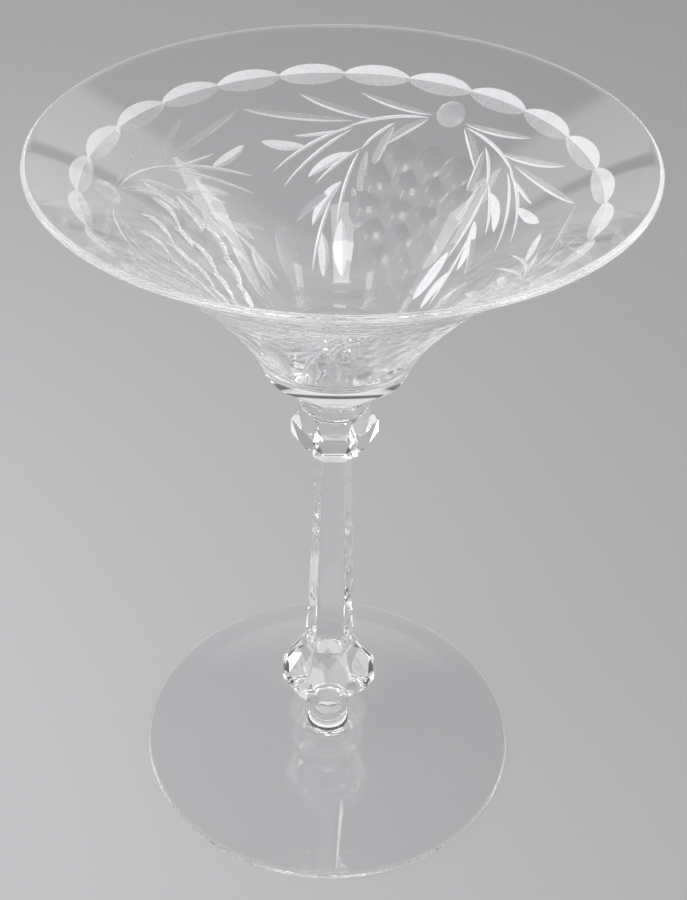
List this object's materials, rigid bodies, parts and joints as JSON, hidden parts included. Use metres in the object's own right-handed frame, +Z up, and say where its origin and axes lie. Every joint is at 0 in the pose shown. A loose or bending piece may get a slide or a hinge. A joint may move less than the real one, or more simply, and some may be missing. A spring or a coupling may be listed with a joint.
{
  "type": "sherbet glass",
  "caption": "Stemmed sherbet glass of clear cut crystal: wide trumpet bowl, facet-cut knops, panel-cut stem and thin round foot, for serving sherbet, ices or sparkling drinks.",
  "frame": {"origin": "centre of the plane that the foot rests on", "axes": "+Z up along the stem's axis, towards the rim; one flat panel of the six-sided stem faces -Y and two of its corners point along +X and -X"},
  "size_m": [0.1018, 0.1018, 0.1395],
  "materials": {
    "foot_crystal": "clear, fire polished",
    "stem_crystal": "clear, facets cut and polished",
    "bowl_crystal": "clear and polished, with grey wheel-cut ornament"
  },
  "bodies": {
    "root": {"foot": "foot_crystal", "foot_button": "foot_crystal", "lower_knop": "stem_crystal", "stem_shank": "stem_crystal", "upper_knop": "stem_crystal", "bowl_button": "bowl_crystal", "bowl": "bowl_crystal"}
  },
  "joints": []
}
